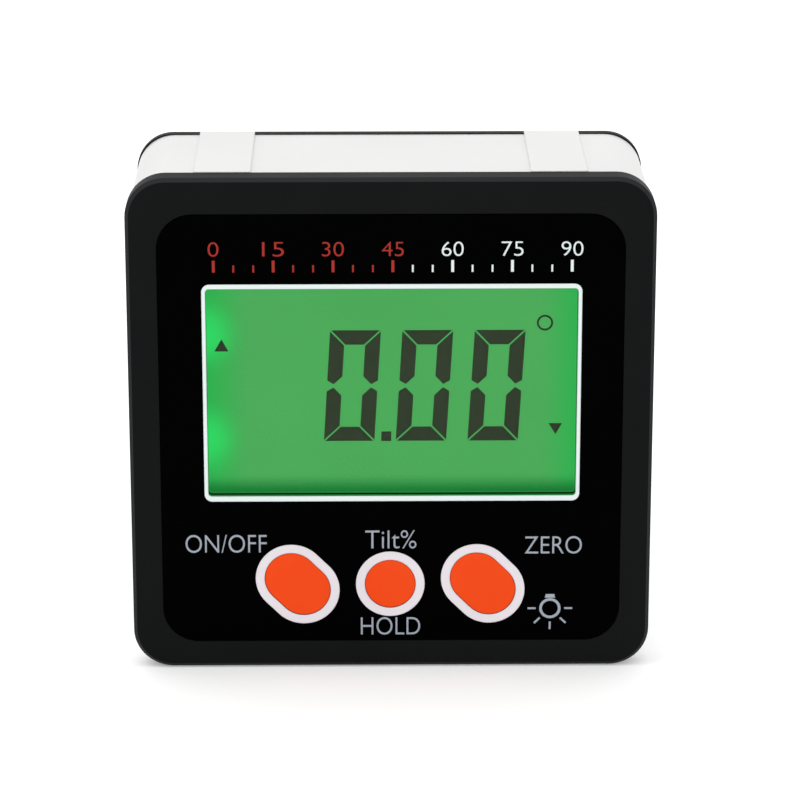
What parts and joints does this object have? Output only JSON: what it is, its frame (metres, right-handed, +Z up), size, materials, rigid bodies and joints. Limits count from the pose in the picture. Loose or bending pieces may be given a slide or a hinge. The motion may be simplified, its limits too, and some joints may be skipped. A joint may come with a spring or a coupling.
{
  "type": "digital inclinometer",
  "caption": "Square digital inclinometer with a backlit angle display, orange keys and a metal frame with raised measuring pads and a magnetic base.",
  "frame": {"origin": "middle of the outline on the plane of the two bottom measuring pads", "axes": "+X to the right seen from the front, the display faces -Y, +Z up"},
  "size_m": [0.06, 0.027, 0.0587],
  "materials": {
    "black_abs": "fine satin",
    "gloss_panel": "gloss",
    "window": "clear",
    "frame_metal": "light satin",
    "magnet_nickel": "polished",
    "key_orange": "satin",
    "black_nylon": "matte",
    "seal_rubber": "matte",
    "lcd_glass": "gloss",
    "light_guide": "clear",
    "white_plastic": "matte",
    "board_green": "satin",
    "steel": "zinc plated",
    "tan_ceramic": "matte",
    "cell_sleeve": "gloss"
  },
  "bodies": {
    "housing": {"front_bezel": "black_abs", "back_cover": "black_abs", "face_panel": "gloss_panel", "display_window": "window", "metal_frame": "frame_metal", "base_magnet_left": "magnet_nickel", "base_magnet_right": "magnet_nickel", "on_off_switch": "black_nylon", "hold_switch": "black_nylon", "zero_switch": "black_nylon", "controller_chip": "black_nylon", "keypad_mat": "seal_rubber", "front_gasket": "seal_rubber", "back_gasket": "seal_rubber", "zebra_strip": "seal_rubber", "lcd_front_glass": "lcd_glass", "lcd_rear_glass": "lcd_glass", "light_guide": "light_guide", "lcd_holder": "white_plastic", "backlight_leds": "white_plastic", "main_board": "board_green", "backlight_strip": "board_green", "case_screws": "steel", "board_screws": "steel", "positive_contact": "steel", "negative_contact": "steel", "bridge_contact": "steel", "crystal_can": "steel", "angle_sensor": "steel", "chip_capacitors": "tan_ceramic", "battery_upper": "cell_sleeve", "battery_lower": "cell_sleeve"},
    "on_off_key": {"on_off_key_cap": "key_orange", "on_off_key_plunger": "black_nylon", "on_off_switch_stem": "black_nylon"},
    "hold_key": {"hold_key_cap": "key_orange", "hold_key_plunger": "black_nylon", "hold_switch_stem": "black_nylon"},
    "zero_key": {"zero_key_cap": "key_orange", "zero_key_plunger": "black_nylon", "zero_switch_stem": "black_nylon"},
    "battery_hatch": {"battery_door": "black_abs", "battery_door_gasket": "seal_rubber", "battery_door_screws": "steel"}
  },
  "joints": [
    {"name": "on_off_press", "type": "slide", "parent": "housing", "child": "on_off_key", "axis": [0, 1, 0], "range_m": [0, 0.0004], "stiffness_N_per_m": 2000},
    {"name": "hold_press", "type": "slide", "parent": "housing", "child": "hold_key", "axis": [0, 1, 0], "range_m": [0, 0.0004], "stiffness_N_per_m": 2000},
    {"name": "zero_press", "type": "slide", "parent": "housing", "child": "zero_key", "axis": [0, 1, 0], "range_m": [0, 0.0004], "stiffness_N_per_m": 2000},
    {"name": "battery_hatch_lift", "type": "slide", "parent": "housing", "child": "battery_hatch", "axis": [0, 1, 0], "range_m": [0, 0.02]}
  ]
}
